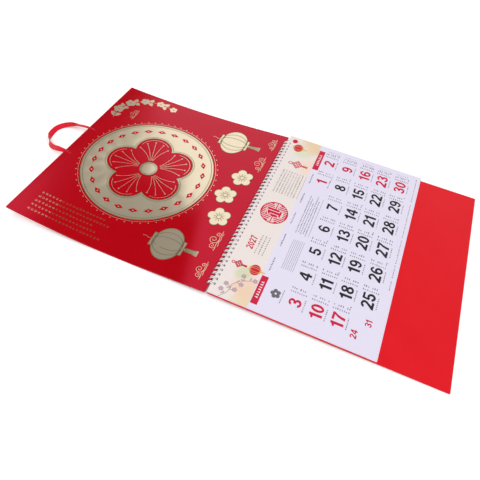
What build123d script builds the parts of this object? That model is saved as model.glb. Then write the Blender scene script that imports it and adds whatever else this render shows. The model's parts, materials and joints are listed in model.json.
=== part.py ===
from build123d import *
import os
from math import asin, atan2, cos, degrees, hypot, radians, sin, sqrt, tan

# Wall calendar of two boards on a twin loop wire, lying open on its back.
# Origin on the table below the middle of the wire, +Y to the hanging edge, +Z up, millimetres.

# Boards
board_width = 365.0
board_length = 345.0          # from the wire's axis to each free edge
board_thickness = 1.6
board_corner = 1.2
board_lift = 0.2              # underside of a board above the wire's axis
board_margin = 1.0            # inner edge of a board from the wire's axis
hole_size = 4.0
hole_near_edge = 2.3          # inner edge of a board to its holes

# The hanging board falls from the wire to the table, then curls up towards its free edge
fall_angle = 3.0
near_curl_radius = 1090.0     # on the left side, which stands highest
far_curl_radius = 2150.0      # on the right side

# Twin loop wire
loop_pitch = 8.467
loop_side_room = 13.0         # least width of board beside the row of loops
ring_radius = 5.25            # middle of the wire
wire_section = 0.89           # side of its plain square section, as much metal as 1 mm round wire
ring_sides = 8
finger_width = 2.9            # between the middles of a finger's two wires
seam_angle = 10.0             # the spine lies this far below the level of the axis
tip_gap = 0.65                # clear space between the spine and the finger tips

# Month pad
pad_length = 249.0
pad_thickness = 2.0
pad_overrun = 0.7             # top edge of the pad past the wire's axis
pad_side_inset = 0.5          # left edge of the pad inside the board's edge
pad_side_overhang = 4.5       # right edge of the pad past the board's edge
pad_clearance = 0.05
pad_hole_start = 1.4          # from the wire's axis
pad_hole_length = 5.1
pad_corner = 0.8

# Gold foil stamped on the hanging board: medallion, two lanterns and a spray of blossoms
foil_height = 0.15
medallion_radius = 115.0
medallion_y = 200.0
medallion_petal = 32.0        # radius of a petal of the red blossom in the medallion
lozenge_count = 24
lozenge_length = 17.0
lozenge_width = 9.0
lantern_width = 62.0
lantern_height = 50.0
lantern_x = 128.0
lantern_y = 92.0
spray_y = 52.0
spray_blossom = 20.0          # reach of the middle blossom's petals
spray_spread = 48.0           # from the middle blossom to those beside it

# Hanging ribbon: each point is across, past the hanging edge, above the table
ribbon_diameter = 4.0         # across the corners of its plain six-sided tube
ribbon_sides = 6
ribbon_out_x = 36.2
ribbon_in_x = -35.4
ribbon_straight = 12.5        # stretch straight out of the board at both ends
ribbon_loop = [
    (36.8, 29.0, 8.5),
    (36.5, 48.0, 4.6),
    (22.5, 63.5, 3.4),
    (4.0, 64.5, 3.2),
    (-12.0, 57.0, 3.4),
    (-24.0, 45.5, 4.8),
    (-32.0, 30.0, 9.0),
]

# Heights and angles that follow from the sizes above
axis_height = ring_radius + wire_section / 2
wire_axis = Vector(0, 0, axis_height)
fall = radians(fall_angle)
rest_tilt = asin(axis_height / hypot(board_length, board_lift)) + atan2(board_lift, board_length)
base_plane = Plane(
    origin=wire_axis,
    x_dir=(1, 0, 0),
    z_dir=(0, -sin(rest_tilt), cos(rest_tilt)),
)
loop_count = int((board_width - 2 * loop_side_room) / loop_pitch)
hole_middle = board_margin + hole_near_edge + hole_size / 2
fall_plane = Plane(origin=wire_axis, x_dir=(1, 0, 0), z_dir=(0, sin(fall), cos(fall)))
board_start = wire_axis + fall_plane.z_dir * board_lift
blank_margin = 4.0            # the blank reaches past the edges it is trimmed to
blank_half = board_width / 2 + blank_margin

os.makedirs("parts", exist_ok=True)


def straight_length(curl_radius):
    """Length of a side's straight fall, from the wire to where its curl starts."""
    return (board_start.Z - curl_radius * (1 - cos(fall))) / sin(fall)


def lowest_y(curl_radius):
    """Where a side of the hanging board touches the table."""
    return board_start.Y + straight_length(curl_radius) * cos(fall) + curl_radius * sin(fall)


def curl_height(curl_radius, y):
    """Height of the underside at a place on the curl."""
    return curl_radius - sqrt(curl_radius**2 - (y - lowest_y(curl_radius)) ** 2)


def curl_section(side_x, curl_radius, bottom, top):
    """Section of the board's curl between two offsets above its underside."""
    touch_y = lowest_y(curl_radius)
    end_angle = degrees(asin((board_length + blank_margin - touch_y) / curl_radius))
    with BuildSketch(Plane.YZ.offset(side_x)) as section:
        with BuildLine():
            curls = [
                CenterArc(
                    (touch_y, curl_radius),
                    curl_radius - height,
                    270 - fall_angle,
                    fall_angle + end_angle,
                )
                for height in (bottom, top)
            ]
            Line(curls[0] @ 0, curls[1] @ 0)
            Line(curls[0] @ 1, curls[1] @ 1)
        make_face()
    return section.sketch


def board_layer(bottom, top):
    """Blank of the board between two offsets above its underside, flat first and then curled."""
    sides = [(-blank_half, near_curl_radius), (blank_half, far_curl_radius)]
    flat_ends = [(x, straight_length(curl_radius)) for x, curl_radius in sides]
    with BuildPart() as layer:
        with BuildSketch(fall_plane.offset(board_lift + bottom)):
            with BuildLine():
                Polyline((-blank_half, 0), *flat_ends, (blank_half, 0), close=True)
            make_face()
        extrude(amount=top - bottom)
        loft([curl_section(x, radius, bottom, top) for x, radius in sides], ruled=True)
    return layer.part


# Hanging board: a curled blank, trimmed to the board's outline and punched for the wire
with BuildPart() as hanging_board:
    add(board_layer(0, board_thickness))
    with BuildSketch(Plane.XY) as hanging_outline:
        with Locations((0, (board_margin + board_length) / 2)):
            Rectangle(board_width, board_length - board_margin)
        fillet(hanging_outline.vertices(), board_corner)
    extrude(amount=board_length, mode=Mode.INTERSECT)
    with BuildSketch(Plane.XY):
        with Locations((0, hole_middle)):
            with GridLocations(loop_pitch, 0, loop_count, 1):
                Rectangle(hole_size, hole_size)
    extrude(amount=board_length, mode=Mode.SUBTRACT)
hanging_board.part.label = "hanging_board"
export_step(hanging_board.part, "parts/hanging_board.step")

# Gold foil: flat shapes stamped through a layer on the board's face
petal_ring = 1.42 * medallion_petal
lozenge_ring = (medallion_radius + petal_ring + medallion_petal) / 2
with BuildSketch() as lozenge:
    with BuildLine():
        Polyline(
            (-lozenge_width / 2, 0),
            (0, -lozenge_length / 2),
            (lozenge_width / 2, 0),
            (0, lozenge_length / 2),
            close=True,
        )
    make_face()

with BuildSketch() as medallion:
    Circle(medallion_radius)
    with PolarLocations(petal_ring, 5, start_angle=90):
        Circle(medallion_petal, mode=Mode.SUBTRACT)
    Circle(petal_ring, mode=Mode.SUBTRACT)
    with PolarLocations(lozenge_ring, lozenge_count):
        add(lozenge.sketch, mode=Mode.SUBTRACT)
    Circle(medallion_petal / 2)

with BuildSketch() as lantern:
    Ellipse(lantern_width / 2, lantern_height / 2)
    with GridLocations(0, lantern_height, 1, 2):
        Rectangle(lantern_width * 0.42, lantern_height * 0.14)
    with Locations((0, -lantern_height * 0.8)):
        Trapezoid(lantern_width * 0.16, lantern_height * 0.46, 82, align=(Align.CENTER, Align.CENTER))

with BuildSketch() as blossom:
    with PolarLocations(spray_blossom * 0.58, 5, start_angle=90):
        Circle(spray_blossom * 0.42)
    Circle(spray_blossom * 0.4)

with BuildPart() as gold_foil:
    add(board_layer(board_thickness, board_thickness + foil_height))
    with BuildSketch():
        with Locations((0, medallion_y)):
            add(medallion.sketch)
        with Locations((-lantern_x, lantern_y), (lantern_x, lantern_y)):
            add(lantern.sketch)
        with Locations((0, spray_y), (-spray_spread, spray_y * 0.8), (spray_spread, spray_y * 0.8)):
            add(blossom.sketch)
    extrude(amount=board_length, mode=Mode.INTERSECT)
gold_foil.part.label = "gold_foil"
export_step(gold_foil.part, "parts/gold_foil.step")

# Base board: flat, from the wire down to the table
with BuildPart() as base_board:
    with BuildSketch(base_plane.offset(board_lift)) as base_outline:
        with Locations((0, -(board_margin + board_length) / 2)):
            Rectangle(board_width, board_length - board_margin)
        fillet(base_outline.vertices(), board_corner)
        with Locations((0, -hole_middle)):
            with GridLocations(loop_pitch, 0, loop_count, 1):
                Rectangle(hole_size, hole_size, mode=Mode.SUBTRACT)
    extrude(amount=board_thickness)
base_board.part.label = "base_board"
export_step(base_board.part, "parts/base_board.step")

# Month pad: the leaves as one block on the base board
pad_bottom = board_lift + board_thickness + pad_clearance
pad_left = -board_width / 2 + pad_side_inset
pad_right = board_width / 2 + pad_side_overhang
with BuildPart() as month_pad:
    with BuildSketch(base_plane.offset(pad_bottom)) as pad_outline:
        with Locations(((pad_left + pad_right) / 2, pad_overrun - pad_length / 2)):
            Rectangle(pad_right - pad_left, pad_length)
        fillet(pad_outline.vertices(), pad_corner)
        with Locations((0, -pad_hole_start - pad_hole_length / 2)):
            with GridLocations(loop_pitch, 0, loop_count, 1):
                Rectangle(hole_size, pad_hole_length, mode=Mode.SUBTRACT)
    extrude(amount=pad_thickness)
month_pad.part.label = "month_pad"
export_step(month_pad.part, "parts/month_pad.step")

# Twin loop wire: one finger swept from the spine over the ring to its tip and back
ring_step = 360 / ring_sides
ring_corner = ring_radius / cos(radians(ring_step / 2))
spine_drop = ring_radius * tan(radians(seam_angle))
tip_edge = [
    Vector(0, ring_corner * cos(a), ring_corner * sin(a))
    for a in (radians(-ring_step / 2 * 3), radians(-ring_step / 2))
]
tip_back = (tip_edge[0] - tip_edge[1]).normalized()
tip_reach = tip_gap + wire_section - (abs(tip_edge[1].Z) - spine_drop)
tip_point = tip_edge[1] + tip_back * tip_reach
side_path = [Vector(0, ring_radius, -spine_drop)]
side_path += [
    Vector(0, ring_corner * cos(radians(a)), ring_corner * sin(radians(a)))
    for a in [ring_step * (k + 0.5) for k in range(ring_sides - 1)]
]
side_path += [tip_point]
left = Vector(-finger_width / 2, 0, 0)
right = Vector(finger_width / 2, 0, 0)
half_pitch = Vector(loop_pitch / 2, 0, 0)
finger_path = (
    [side_path[0] - half_pitch]
    + [point + left for point in side_path]
    + [point + right for point in reversed(side_path)]
    + [side_path[0] + half_pitch]
)
with BuildPart() as finger:
    with BuildLine() as finger_line:
        Polyline(*[wire_axis + point for point in finger_path])
    with BuildSketch(Plane(origin=finger_line.line @ 0, x_dir=(0, 0, 1), z_dir=(1, 0, 0))):
        Rectangle(wire_section, wire_section)
    sweep(transition=Transition.RIGHT)

with BuildPart() as wire_binding:
    with GridLocations(loop_pitch, 0, loop_count, 1):
        add(finger.part)
wire_binding.part.label = "wire_binding"
export_step(wire_binding.part, "parts/wire_binding.step")


def edge_middle(x):
    """Middle of the hanging edge's face at a distance across the board."""
    heights = [curl_height(r, board_length) for r in (near_curl_radius, far_curl_radius)]
    share = (x + blank_half) / (2 * blank_half)
    height = heights[0] + (heights[1] - heights[0]) * share
    return Vector(x, board_length, height + board_thickness / 2)


# Hanging ribbon: out of the board's edge, round on the table and back in
ribbon_out = edge_middle(ribbon_out_x)
ribbon_in = edge_middle(ribbon_in_x)
step_out = Vector(0, ribbon_straight, 0)
ribbon_route = (
    [ribbon_out, ribbon_out + step_out]
    + [Vector(x, board_length + past, z) for x, past, z in ribbon_loop]
    + [ribbon_in + step_out, ribbon_in]
)
ribbon_radii = []
for before, here, after in zip(ribbon_route, ribbon_route[1:], ribbon_route[2:]):
    half_turn = radians((here - before).get_angle(after - here)) / 2
    shorter_run = min((here - before).length, (after - here).length)
    ribbon_radii.append(0.45 * shorter_run / tan(half_turn))
with BuildPart() as hanging_ribbon:
    with BuildLine() as ribbon_line:
        FilletPolyline(*ribbon_route, radius=ribbon_radii)
    with BuildSketch(Plane(origin=ribbon_out, z_dir=(0, 1, 0))) as ribbon_end:
        RegularPolygon(ribbon_diameter / 2, ribbon_sides)
    sweep()
hanging_ribbon.part.label = "hanging_ribbon"
export_step(hanging_ribbon.part, "parts/hanging_ribbon.step")

ribbon_length = ribbon_line.wire().length
ribbon_share = hanging_ribbon.part.volume / (ribbon_end.sketch.area * ribbon_length)
print("ribbon radii", [round(r, 1) for r in ribbon_radii])
print("ribbon length", round(ribbon_length, 1), "volume over section by length", round(ribbon_share, 4))
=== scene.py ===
import json
import random
from math import asin, atan2, ceil, cos, degrees, hypot, radians, sin, sqrt

import bmesh
import bpy
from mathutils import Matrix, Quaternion, Vector
from mathutils.geometry import tessellate_polygon


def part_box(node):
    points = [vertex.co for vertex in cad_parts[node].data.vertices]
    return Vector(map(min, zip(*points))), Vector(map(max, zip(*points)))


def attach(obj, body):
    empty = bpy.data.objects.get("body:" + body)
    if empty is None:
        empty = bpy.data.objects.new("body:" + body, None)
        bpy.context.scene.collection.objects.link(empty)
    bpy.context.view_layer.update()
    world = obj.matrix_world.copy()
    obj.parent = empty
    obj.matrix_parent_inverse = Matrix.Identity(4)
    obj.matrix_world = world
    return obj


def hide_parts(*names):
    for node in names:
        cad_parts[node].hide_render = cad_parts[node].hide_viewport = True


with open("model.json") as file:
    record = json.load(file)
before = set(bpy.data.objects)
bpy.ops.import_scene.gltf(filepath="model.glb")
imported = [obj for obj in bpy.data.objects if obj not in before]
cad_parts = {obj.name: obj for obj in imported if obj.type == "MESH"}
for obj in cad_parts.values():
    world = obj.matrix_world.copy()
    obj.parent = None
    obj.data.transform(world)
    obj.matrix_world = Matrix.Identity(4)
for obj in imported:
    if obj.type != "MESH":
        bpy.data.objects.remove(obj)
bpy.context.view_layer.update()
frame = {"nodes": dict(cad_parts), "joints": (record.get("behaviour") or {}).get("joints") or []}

mm = 0.001               # shapes are worked out in millimetres and kept in metres
scene = bpy.context.scene
scene.view_settings.view_transform = "Standard"

# Camera: the photograph's place and angle
camera = {
    "place": (-0.4424, -0.1372, 0.5429),
    "looksAt": (-0.0723, -0.0062, 0.0),
    "roll": 4.52,
    "focalLength": 31.886,
    "sensor": 36.0,
}


def makeCamera():
    data = bpy.data.cameras.new("camera")
    data.sensor_width = camera["sensor"]
    data.lens = camera["focalLength"]
    data.clip_start = 0.01
    viewer = bpy.data.objects.new("camera", data)
    scene.collection.objects.link(viewer)
    ahead = Vector(camera["looksAt"]) - Vector(camera["place"])
    turn = ahead.to_track_quat("-Z", "Y") @ Quaternion((0, 0, 1), radians(camera["roll"]))
    viewer.location = camera["place"]
    viewer.rotation_mode = "QUATERNION"
    viewer.rotation_quaternion = turn
    scene.camera = viewer


makeCamera()
print("camera set")


def linear(colour):
    # sRGB hex to the linear colour that a shader takes
    channels = [int(colour[k:k + 2], 16) / 255 for k in (0, 2, 4)]
    return [c / 12.92 if c <= 0.04045 else ((c + 0.055) / 1.055) ** 2.4 for c in channels] + [1.0]


def newMaterial(name):
    material = bpy.data.materials.new(name)
    material.use_nodes = True
    return material, material.node_tree, material.node_tree.nodes["Principled BSDF"]


def addNode(tree, kind, inputs, **options):
    # a node with its options; each input is a value, or another node's output to link to
    node = tree.nodes.new(kind)
    for option, value in options.items():
        setattr(node, option, value)
    setInputs(tree, node, inputs)
    return node


def setInputs(tree, node, inputs):
    for socket, value in inputs.items():
        if isinstance(value, bpy.types.NodeSocket):
            tree.links.new(value, node.inputs[socket])
        else:
            node.inputs[socket].default_value = value


def perMm(size):
    # texture scale for a pattern of that size in millimetres
    return 1 / (size * mm)


def meshPiece(name, shape, material, body, smoothUnder=35):
    points, faces = shape
    mesh = bpy.data.meshes.new(name)
    mesh.from_pydata([Vector(point) * mm for point in points], [], faces)
    mesh.materials.append(material)
    mesh.shade_smooth()
    mesh.set_sharp_from_angle(angle=radians(smoothUnder))
    piece = bpy.data.objects.new(name, mesh)
    scene.collection.objects.link(piece)
    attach(piece, body)
    return piece


def joined(shapes):
    # one shape from several
    points, faces = [], []
    for somePoints, someFaces in shapes:
        start = len(points)
        points += somePoints
        faces += [[start + k for k in face] for face in someFaces]
    return points, faces


# Hanging ribbon: red satin; its line is the model's, moved by about 3 mm at most round the loop
ribbon = {
    "route": [
        (0.0362, 0.345, 0.0129),
        (0.0362, 0.3575, 0.0127),
        (0.0368, 0.374, 0.0085),
        (0.0360, 0.3925, 0.0048),
        (0.0212, 0.407, 0.0034),
        (0.0024, 0.4075, 0.0034),
        (-0.0140, 0.400, 0.0050),
        (-0.0250, 0.3895, 0.0062),
        (-0.032, 0.375, 0.0092),
        (-0.0354, 0.3575, 0.0152),
        (-0.0354, 0.345, 0.0152),
    ],
    "width": 9.0,
    "thickness": 0.35,
    "crown": 0.5,           # how far its middle stands above its edges
    "length": 169.5,
    # share of the length: turn of the ribbon about its line in degrees, share of its width
    "twist": [
        (0.00, -14, 0.8), (0.14, -12, 0.9), (0.26, 24, 1.0), (0.40, 36, 1.0), (0.51, 38, 1.0),
        (0.62, 86, 1.0), (0.70, 122, 1.0), (0.78, 142, 1.0), (0.90, 150, 1.0), (1.00, 160, 0.8),
    ],
    "across": 8,
}


def routeLine(route):
    # points along the route's smooth line
    curve = bpy.data.curves.new("route", "CURVE")
    curve.dimensions = "3D"
    curve.resolution_u = 12
    spline = curve.splines.new("NURBS")
    spline.points.add(len(route) - 1)
    for point, place in zip(spline.points, route):
        point.co = (*place, 1)
    spline.order_u = 3
    spline.use_endpoint_u = True
    holder = bpy.data.objects.new("route", curve)
    scene.collection.objects.link(holder)
    mesh = bpy.data.meshes.new_from_object(holder)
    line = [vertex.co.copy() for vertex in mesh.vertices]
    bpy.data.objects.remove(holder)
    bpy.data.meshes.remove(mesh)
    return line


def between(table, share):
    # values of a table at a share of its length, eased from row to row
    for before, after in zip(table, table[1:]):
        if share <= after[0]:
            part = (share - before[0]) / (after[0] - before[0])
            part = part * part * (3 - 2 * part)
            return [a + (b - a) * part for a, b in zip(before[1:], after[1:])]
    return list(table[-1][1:])


def ribbonShape(line):
    reach = [0.0]
    for before, after in zip(line, line[1:]):
        reach.append(reach[-1] + (after - before).length)
    count = ribbon["across"]
    points, faces = [], []
    for k, here in enumerate(line):
        turn, fullness = between(ribbon["twist"], reach[k] / reach[-1])
        ahead = (line[min(k + 1, len(line) - 1)] - line[max(k - 1, 0)]).normalized()
        side = ahead.cross(Vector((0, 0, 1))).normalized()
        rise = side.cross(ahead)
        across = side * cos(radians(turn)) + rise * sin(radians(turn))
        out = across.cross(ahead)
        ring = []
        for face in (0.5, -0.5):
            for j in range(count + 1):
                u = (2 * j / count - 1) * face * 2
                edge = across * (u * ribbon["width"] / 2 * fullness)
                bulge = out * (ribbon["crown"] * (1 - u * u) + ribbon["thickness"] * face)
                ring.append(here / mm + edge + bulge)
        points += ring
        size = len(ring)
        if k:
            low, high = (k - 1) * size, k * size
            faces += [[low + j, low + (j + 1) % size, high + (j + 1) % size, high + j]
                      for j in range(size)]
    size = 2 * (count + 1)
    faces += [list(range(size))[::-1], [len(points) - size + j for j in range(size)]]
    return points, faces


def satin():
    # polyester satin: fine warp threads give a long soft sheen across the ribbon
    look = {
        "colour": "EA1A24",
        "shade": "CE0E2A",
        "glint": "FF7FB0",
        "sheen": "FF6C80",
        "fold": 14,
        "thread": 0.35,     # the real threads are finer, but would not show
    }
    material, tree, shader = newMaterial("polyesterSatin")
    where = addNode(tree, "ShaderNodeTexCoord", {})
    fold = addNode(tree, "ShaderNodeTexNoise", {
        "Vector": where.outputs["Object"], "Scale": perMm(look["fold"]), "Detail": 2.0})
    tint = addNode(tree, "ShaderNodeMix", {
        "Factor": fold.outputs["Fac"], "A": linear(look["colour"]), "B": linear(look["shade"])},
        data_type="RGBA")
    threads = addNode(tree, "ShaderNodeTexNoise", {
        "Vector": where.outputs["Object"], "Scale": perMm(look["thread"]), "Detail": 1.0})
    bump = addNode(tree, "ShaderNodeBump", {
        "Strength": 0.35, "Distance": 0.05 * mm, "Height": threads.outputs["Fac"]})
    setInputs(tree, shader, {
        "Base Color": tint.outputs["Result"], "Normal": bump.outputs["Normal"], "Roughness": 0.34,
        "Specular Tint": linear(look["glint"]), "Anisotropic": 0.4, "Sheen Weight": 0.3,
        "Sheen Roughness": 0.4, "Sheen Tint": linear(look["sheen"])})
    return material


def makeRibbon():
    line = routeLine(ribbon["route"])
    piece = meshPiece("hanging_ribbon_satin", ribbonShape(line), satin(), "hanger", 80)
    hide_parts("hanging_ribbon")


makeRibbon()
print("ribbon made")

# Boards: sizes read from the frame, the warp of the hanging board from its two side curls
boardLow, boardHigh = (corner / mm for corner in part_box("hanging_board"))
padLow, padHigh = (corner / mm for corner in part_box("month_pad"))
wireZ = frame["joints"][0]["pos_m"][2] / mm
boards = {
    "thickness": 1.6,
    "lift": 0.2,            # underside above the wire's axis
    "margin": 1.0,          # from the axis to the base board's near edge
    "hangingMargin": 1.9,   # the hanging board's edge keeps a dark gap beside the leaves
    "length": 345.0,
    "corner": 1.2,
    "rim": 0.18,            # rounding of the cut edges
    "fall": 3.0,            # degrees, from the wire to the table
    "nearCurl": 1090.0,     # radius on the left side, which stands highest
    "farCurl": 2150.0,
    "blankHalf": 186.5,     # the curls are those of a slightly larger blank
    "blankEnd": 349.0,
    "holeSize": 4.0,
    "holeNear": 3.3,
    "curledCell": 8,        # largest cell of the mesh on the curled and on the flat board
    "flatCell": 24,
}
loops = {"pitch": 8.467, "count": 40}
loopMiddles = [(k - (loops["count"] - 1) / 2) * loops["pitch"] for k in range(loops["count"])]
fall = radians(boards["fall"])
startY = boards["lift"] * sin(fall)
startZ = wireZ + boards["lift"] * cos(fall)
tilt = asin(wireZ / hypot(boards["length"], boards["lift"])) + atan2(boards["lift"], boards["length"])


def sideCurl(radius):
    # radius, place of the lowest point and end angle of one side's curl
    straight = (startZ - radius * (1 - cos(fall))) / sin(fall)
    lowest = startY + straight * cos(fall) + radius * sin(fall)
    return radius, lowest, asin((boards["blankEnd"] - lowest) / radius)


sideCurls = [sideCurl(boards["nearCurl"]), sideCurl(boards["farCurl"])]


def hangingPlace(x, y, lift):
    # a point that high above the hanging board's underside: straight fall, then ruled between the curls
    share = (x + boards["blankHalf"]) / (2 * boards["blankHalf"])

    def ruled(u):
        ends = []
        for radius, lowest, end in sideCurls:
            angle = -fall + u * (fall + end)
            ends.append((lowest + (radius - lift) * sin(angle), radius - (radius - lift) * cos(angle)))
        return [a + (b - a) * share for a, b in zip(*ends)]

    firstY = ruled(0)[0]
    if y <= firstY:
        z = startZ + lift * cos(fall) - (y - startY - lift * sin(fall)) * sin(fall) / cos(fall)
        return Vector((x, y, z))
    lastY = ruled(1)[0]
    u = (y - firstY) / (lastY - firstY)
    for _ in range(3):
        u += (y - ruled(u)[0]) / (lastY - firstY)
    return Vector((x, y, ruled(u)[1]))


def basePlace(x, y, lift):
    # a point that high above the base board's plane through the wire's axis
    return Vector((x, y * cos(tilt) - lift * sin(tilt), wireZ + y * sin(tilt) + lift * cos(tilt)))


def gridLines(low, high, fixed, step):
    # lines from low to high through the fixed ones, never further apart than a step
    lines = [low]
    for stop in [*fixed, high]:
        start = lines[-1]
        parts = max(1, ceil((stop - start) / step))
        lines += [start + (stop - start) * k / parts for k in range(1, parts + 1)]
    return lines


def punchedSheet(left, right, near, far, holes, step, corner):
    # a flat sheet in cells, its corners rounded, without the cells in the row of holes
    half = boards["holeSize"] / 2
    across = gridLines(left, right, sorted(x + d for x in loopMiddles for d in (-half, half)), step)
    along = gridLines(near, far, holes, step)
    cells = bmesh.new()
    rows = [[cells.verts.new((x, y, 0)) for x in across] for y in along]
    for j, (y0, y1) in enumerate(zip(along, along[1:])):
        inRow = holes[0] < (y0 + y1) / 2 < holes[1]
        for i, (x0, x1) in enumerate(zip(across, across[1:])):
            if inRow and any(abs((x0 + x1) / 2 - x) < half for x in loopMiddles):
                continue
            cells.faces.new((rows[j][i], rows[j][i + 1], rows[j + 1][i + 1], rows[j + 1][i]))
    ends = [rows[j][i] for j in (0, -1) for i in (0, -1)]
    bmesh.ops.bevel(cells, geom=ends, offset=corner, segments=5, profile=0.5, affect="VERTICES")
    cells.verts.index_update()
    return cells


def slab(cells, place, bottom, top):
    # the flat sheet made solid between two heights
    count = len(cells.verts)
    flat = [vertex.co for vertex in cells.verts]
    points = [place(p.x, p.y, height) for height in (bottom, top) for p in flat]
    faces = []
    for face in cells.faces:
        ring = [vertex.index for vertex in face.verts]
        faces += [[k + count for k in ring], ring[::-1]]
    for edge in cells.edges:
        if edge.is_boundary:
            loop = edge.link_loops[0]
            a, b = loop.vert.index, loop.link_loop_next.vert.index
            faces.append([a, b, b + count, a + count])
    cells.free()
    return points, faces


def softenEdges(piece, width):
    # a small rounded edge, so that the rim catches light
    bevel = piece.modifiers.new("rim", "BEVEL")
    bevel.width = width * mm
    bevel.segments = 2
    bevel.limit_method = "ANGLE"
    bevel.angle_limit = radians(40)
    bevel.harden_normals = True


def laminatedCard():
    # gloss film over pearl red card: a pink-tinged gloss with the faint waviness of film on board
    look = {
        "colour": "B40612",
        "mottle": "BE0916",
        "glint": "FF4A80",
        "cloud": 60,
        "wave": 9.0,        # the film's waviness
        "dust": 0.6,
    }
    material, tree, shader = newMaterial("glossLaminatedCard")
    where = addNode(tree, "ShaderNodeTexCoord", {})
    cloud = addNode(tree, "ShaderNodeTexNoise", {
        "Vector": where.outputs["Object"], "Scale": perMm(look["cloud"]), "Detail": 3.0})
    tint = addNode(tree, "ShaderNodeMix", {
        "Factor": cloud.outputs["Fac"], "A": linear(look["colour"]), "B": linear(look["mottle"])},
        data_type="RGBA")
    wave = addNode(tree, "ShaderNodeTexNoise", {
        "Vector": where.outputs["Object"], "Scale": perMm(look["wave"]), "Detail": 2.0})
    bump = addNode(tree, "ShaderNodeBump", {
        "Strength": 0.2, "Distance": 0.03 * mm, "Height": wave.outputs["Fac"]})
    speck = addNode(tree, "ShaderNodeTexNoise", {
        "Vector": where.outputs["Object"], "Scale": perMm(look["dust"]), "Detail": 4.0})
    gloss = addNode(tree, "ShaderNodeMapRange", {
        "Value": speck.outputs["Fac"], "From Min": 0.3, "From Max": 0.8, "To Min": 0.05, "To Max": 0.1})
    setInputs(tree, shader, {
        "Base Color": tint.outputs["Result"], "Normal": bump.outputs["Normal"],
        "Roughness": gloss.outputs["Result"], "Specular IOR Level": 1.0,
        "Specular Tint": linear(look["glint"]), "Coat Weight": 0.12, "Coat Roughness": 0.06, "IOR": 1.65})
    return material


def printedCard():
    # bright red card, printed and matt varnished: even colour with a soft broad sheen
    look = {
        "colour": "DC141E",
        "mottle": "E41C26",
        "glint": "FF6A78",
        "cloud": 45,
        "grain": 0.5,       # a little coarser than the real grain, so that it shows
    }
    material, tree, shader = newMaterial("varnishedCard")
    where = addNode(tree, "ShaderNodeTexCoord", {})
    cloud = addNode(tree, "ShaderNodeTexNoise", {
        "Vector": where.outputs["Object"], "Scale": perMm(look["cloud"]), "Detail": 4.0})
    tint = addNode(tree, "ShaderNodeMix", {
        "Factor": cloud.outputs["Fac"], "A": linear(look["colour"]), "B": linear(look["mottle"])},
        data_type="RGBA")
    grain = addNode(tree, "ShaderNodeTexNoise", {
        "Vector": where.outputs["Object"], "Scale": perMm(look["grain"]), "Detail": 3.0})
    bump = addNode(tree, "ShaderNodeBump", {
        "Strength": 0.25, "Distance": 0.02 * mm, "Height": grain.outputs["Fac"]})
    setInputs(tree, shader, {
        "Base Color": tint.outputs["Result"], "Normal": bump.outputs["Normal"], "Roughness": 0.45,
        "Specular IOR Level": 0.4, "Specular Tint": linear(look["glint"]), "IOR": 1.5})
    return material


def makeBoards():
    holes = [boards["holeNear"], boards["holeNear"] + boards["holeSize"]]
    sheet = punchedSheet(boardLow.x, boardHigh.x, boards["hangingMargin"], boards["length"],
                         holes, boards["curledCell"], boards["corner"])
    piece = meshPiece("hanging_board_card", slab(sheet, hangingPlace, 0, boards["thickness"]),
                      laminatedCard(), "hanger")
    softenEdges(piece, boards["rim"])
    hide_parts("hanging_board")
    sheet = punchedSheet(boardLow.x, boardHigh.x, -boards["length"], -boards["margin"],
                         [-y for y in reversed(holes)], boards["flatCell"], boards["corner"])
    top = boards["lift"] + boards["thickness"]
    piece = meshPiece("base_board_card", slab(sheet, basePlace, boards["lift"], top),
                      printedCard(), "base")
    softenEdges(piece, boards["rim"])
    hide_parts("base_board")


makeBoards()
print("boards made")

# Where the ribbon's ends run in under the facing film, a low ridge shows
tuck = {
    "length": 13.0,
    "width": 3.6,
    "height": 0.75,
    "fade": 0.6,            # below 1 it keeps its height for longer
    "inset": 0.4,           # from the board's free edge
    "sunk": 0.05,
    "cells": (12, 8),
}


def ridge(x):
    # a low rounded swelling that starts at the free edge and fades towards the middle of the board
    along, across = tuck["cells"]
    card = boards["thickness"]
    points, faces = [], []
    for layer in (0, 1):
        for j in range(along + 1):
            for i in range(across + 1):
                u, v = 2 * i / across - 1, j / along
                swell = tuck["height"] * (1 - u * u) * (1 - v) ** tuck["fade"] * layer
                width = tuck["width"] * (1 - 0.5 * v) / 2
                y = boards["length"] - tuck["inset"] - tuck["length"] * v
                lift = card - tuck["sunk"] + swell + tuck["sunk"] * layer * 0.5
                points.append(hangingPlace(x + u * width, y, lift))
    row, layerSize = across + 1, (along + 1) * (across + 1)
    for j in range(along):
        for i in range(across):
            here = j * row + i
            quad = [here, here + 1, here + row + 1, here + row]
            faces += [quad, [k + layerSize for k in quad[::-1]]]
    rim = list(range(across)) + [j * row + across for j in range(along)]
    rim += [along * row + across - i for i in range(across)] + [(along - j) * row for j in range(along)]
    faces += [[b, a, a + layerSize, b + layerSize] for a, b in zip(rim, rim[1:] + rim[:1])]
    return points, faces


def makeTucks():
    ends = [ribbon["route"][0][0] / mm, ribbon["route"][-1][0] / mm]
    film = bpy.data.materials["glossLaminatedCard"]
    meshPiece("ribbon_tucks", joined([ridge(x) for x in ends]), film, "hanger")


makeTucks()
print("ribbon's ends tucked in")

# Month pad: thin leaves that don't lie quite in line
pad = {
    "leaves": 9,
    "start": 1.85,          # underside above the base plane
    "thickness": 2.0,
    "leafGap": 0.03,
    "spread": 0.45,         # how far a leaf's edge may fall short
    "top": -0.6,            # the leaves hang back on the wire, which leaves a dark gap
    "bottom": -248.3,
    "leftInset": 0.7,
    "holes": [-7.0, -1.4],
    "corner": 0.8,
    "cell": 30,
}
padTop = pad["start"] + pad["thickness"]
padLeft = padLow.x + pad["leftInset"]


def padPlace(x, y, lift):
    # a point that high above the top leaf
    return basePlace(x, y, padTop + lift)


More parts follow.
